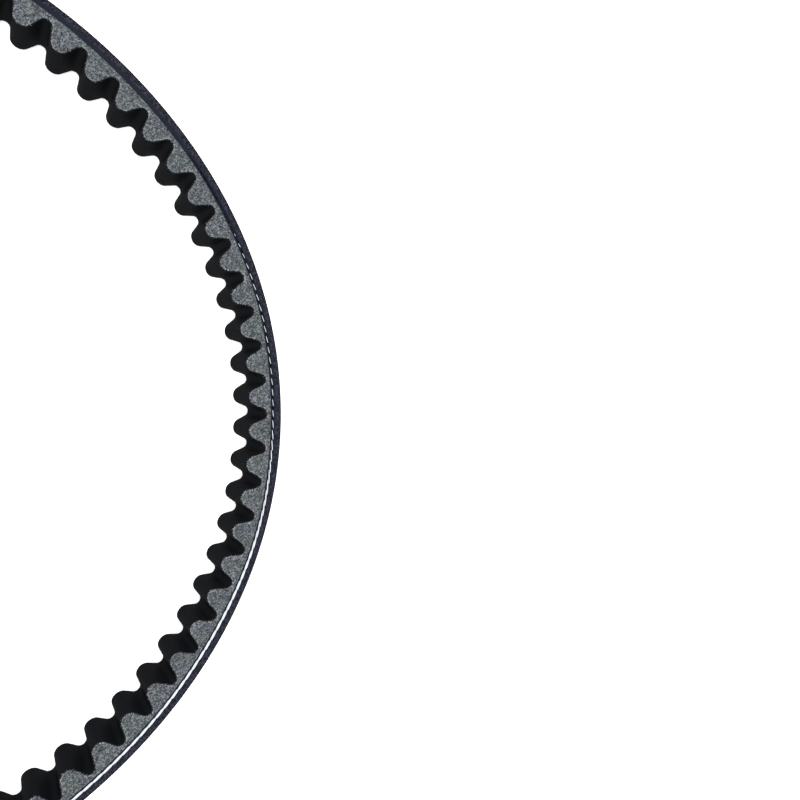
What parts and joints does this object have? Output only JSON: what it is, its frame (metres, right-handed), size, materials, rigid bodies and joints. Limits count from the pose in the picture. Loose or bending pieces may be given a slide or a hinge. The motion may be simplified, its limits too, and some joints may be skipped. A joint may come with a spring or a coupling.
{
  "type": "v belt",
  "caption": "Raw-edge cogged V belt for a variable-speed drive: an endless loop with tapered flanks, a cord near its back and round cogs inside.",
  "frame": {"origin": "centre of the loop, on the plane that the belt lies on", "axes": "+Z along the loop's axis, upwards across the belt's width; X and Y in the plane of the loop"},
  "size_m": [0.2636, 0.2636, 0.0225],
  "materials": {
    "back_fabric": "rubber-soaked canvas, matt",
    "overcord_rubber": "ground edge, matt, dark navy with fine flecks",
    "adhesion_gum": "smooth, slightly glossy black",
    "tension_cord": "twisted white polyester cord, cut at the flank",
    "compression_rubber": "ground edge, grey with short pale fibres",
    "cog_facing": "thin knitted fabric soaked in rubber, soft sheen"
  },
  "bodies": {
    "root": {"back_fabric": "back_fabric", "overcord_rubber": "overcord_rubber", "upper_adhesion_gum": "adhesion_gum", "tension_cord": "tension_cord", "lower_adhesion_gum": "adhesion_gum", "compression_rubber": "compression_rubber", "cog_facing_fabric": "cog_facing"}
  },
  "joints": []
}
